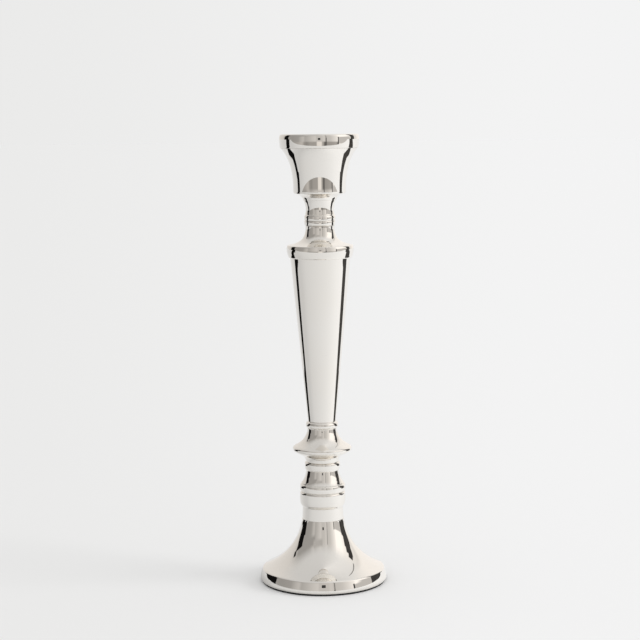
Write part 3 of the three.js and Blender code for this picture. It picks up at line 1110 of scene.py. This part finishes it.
# Seen in the silver, the table takes painted shade, dimmer towards the left where less light falls:
# (degrees to the right, brightness).
table = {
    "front": -0.97,
    "far": 60.0,
    "mirrored": [
        (-180, 224), (-140, 210), (-100, 196), (-85, 195), (-72, 202), (-60, 207), (-40, 211),
        (-20, 215), (0, 219), (20, 223), (40, 228), (70, 237), (95, 241), (130, 236), (180, 224),
    ],
}


def makeFloor():
    # Pale table paper. The part nearer than the table's front edge shows to the camera only, so
    # the silver sees the room beyond that edge.
    material, tree, shader = newMaterial("table_paper")
    point = objectPoint(tree)
    x, y, z = splitVector(tree, point)
    # The camera sees the paper with painted shade across it.
    paper = paperPaintedFalloff(tree, x, calc(tree, "ADD", y, -cameraView["place"][1]))
    # Glossy rays see this painted shade of the table instead of the paper.
    mirrored = bandRamp(tree, azimuthOf(tree, x, y), table["mirrored"], 0.0)
    inSilver = tree.nodes.new("ShaderNodeLightPath").outputs["Is Glossy Ray"]
    shown = mixColour(tree, inSilver, paper, mirrored)
    grain = calc(tree, "MULTIPLY", noise(tree, point, 900.0, 3.0), paperLook["grain"])
    feed(tree, shader.inputs["Base Color"], mixColour(tree, grain, shown, (0, 0, 0, 1)))
    makeMatte(shader)
    far, front = table["far"], table["front"]
    for name, low, high, isTable in (("table_top", front, far, True), ("table_edge", -far, front, False)):
        corners = np.array([[-far, low, 0], [far, low, 0], [far, high, 0], [-far, high, 0]])
        floor = meshFrom(name, corners, np.arange(4), np.array([4]))
        floor.data.materials.append(material)
        floor.visible_glossy = isTable


makeFloor()

window = {
    "turn": 78,  # degrees, like the next two
    "height": 26,
    "spread": 30,
    "fullPaper": 1.01,  # how bright it brings the paper to
}


def makeWindow():
    # One very soft light from the right, a little to the front. It brings the paper to full
    # brightness, so only its shadow is darker.
    lamp = bpy.data.lights.new("window", "SUN")
    lamp.angle = math.radians(window["spread"])
    height = math.radians(window["height"])
    lamp.energy = (window["fullPaper"] - paperLook["ambient"]) * math.pi / math.sin(height)
    lampObject = bpy.data.objects.new("window", lamp)
    bpy.context.scene.collection.objects.link(lampObject)
    lampObject.rotation_euler = (math.pi / 2 - height, 0, math.radians(window["turn"]))
    lampObject.visible_glossy = False
    lampObject.visible_camera = False


makeWindow()

# Black strips stand at both sides of the object and only the silver sees them. They draw the dark
# lines down its edges. Each has its brightness, then levels of distance, turn, width in degrees
# and height. The mats lie on the table.
strips = {
    "left": (14, [(0.34, -121, 20, 0), (0.34, -114, 18, 0.09), (0.34, -102, 14, 0.21)]),
    "right": (62, [(0.34, 121, 26, 0), (0.34, 114, 26, 0.09), (0.34, 105, 17, 0.21)]),
    "far_left": (14, [(1.0, -103, 15, 0), (1.0, -101, 15, 0.285)]),
    "far_right": (58, [(1.0, 107, 22, 0), (1.0, 104, 15, 0.285)]),
    "left_mat": (14, [(0.33, -130, 20, 0.002), (0.6, -127, 18, 0.002)]),
    "right_mat": (58, [(0.33, 128, 22, 0.002), (0.6, 124, 20, 0.002)]),
    "right_wire": (85, [(0.34, 119, 2.6, 0.38), (0.34, 141, 2.4, 0.6)]),
}
stripLook = {"warmth": 0.05, "uneven": 0.2, "streakScale": 30.0}


def onlyInSilver(thing):
    thing.visible_camera = thing.visible_diffuse = thing.visible_shadow = False


def makeStrips():
    # A ribbon of four-sided faces, one between each level and the next. Its points are
    # (distance sin angle, -distance cos angle, height) at both ends of each level's width.
    warmth, uneven = stripLook["warmth"], stripLook["uneven"]
    for name, (seen, levels) in strips.items():
        distance, turn, width, height = np.array(levels, float).T[:, :, None]
        angle = np.radians(turn + width * (-0.5, 0.5))
        places = [np.sin(angle) * distance, -np.cos(angle) * distance, height + angle * 0]
        corners = np.stack(places, axis=-1).reshape(-1, 3)
        steps = np.arange(len(levels) - 1)[:, None] * 2 + np.array([0, 1, 3, 2])
        strip = meshFrom("strip_" + name, corners, steps.ravel(), np.full(len(levels) - 1, 4))
        material, tree, shader = newMaterial("strip_" + name)
        shader.inputs["Base Color"].default_value = (0, 0, 0, 1)
        makeMatte(shader)
        streaks = noise(tree, objectPoint(tree), stripLook["streakScale"], 2.0)
        dim, bright = (shade(seen * (1 + part * uneven), warmth) for part in (-1, 1))
        feed(tree, shader.inputs["Emission Color"], mixColour(tree, streaks, dim, bright))
        shader.inputs["Emission Strength"].default_value = 1
        strip.data.materials.append(material)
        onlyInSilver(strip)


makeStrips()

cameraBody = {
    "size": (0.13, 0.08, 0.075),
    "centre": (0, -1.1, 0.3),
    "dark": (0.01, 0.01, 0.01, 1),
    "pale": (0.03, 0.03, 0.03, 1),
}


def makeCameraBody():
    # The dark body of the camera, which the silver shows as a small dot.
    centre, half = np.array(cameraBody["centre"]), np.array(cameraBody["size"]) / 2
    signs = np.stack(np.meshgrid((-1, 1), (-1, 1), (-1, 1), indexing="ij"), -1).reshape(-1, 3)
    faces = np.array([0, 1, 3, 2, 4, 6, 7, 5, 0, 4, 5, 1, 2, 3, 7, 6, 0, 2, 6, 4, 1, 5, 7, 3])
    body = meshFrom("camera_body", centre + signs * half, faces, np.full(6, 4))
    material, tree, shader = newMaterial("camera_black")
    grain = noise(tree, objectPoint(tree), 400.0)
    feed(tree, shader.inputs["Base Color"], mixColour(tree, grain, cameraBody["dark"], cameraBody["pale"]))
    body.data.materials.append(material)
    onlyInSilver(body)


makeCameraBody()
bpy.context.scene.view_settings.view_transform = "Standard"
print("studio set")


def makeCamera():
    camera = bpy.data.cameras.new("camera")
    cameraObject = bpy.data.objects.new("camera", camera)
    bpy.context.scene.collection.objects.link(cameraObject)
    camera.lens, camera.sensor_width = cameraView["lens"], cameraView["sensor"]
    cameraObject.location = cameraView["place"]
    cameraObject.rotation_euler = (math.radians(90 - cameraView["pitch"]), 0, 0)
    cameraObject.rotation_euler.rotate_axis("Z", math.radians(cameraView["roll"]))
    bpy.context.scene.camera = cameraObject


makeCamera()
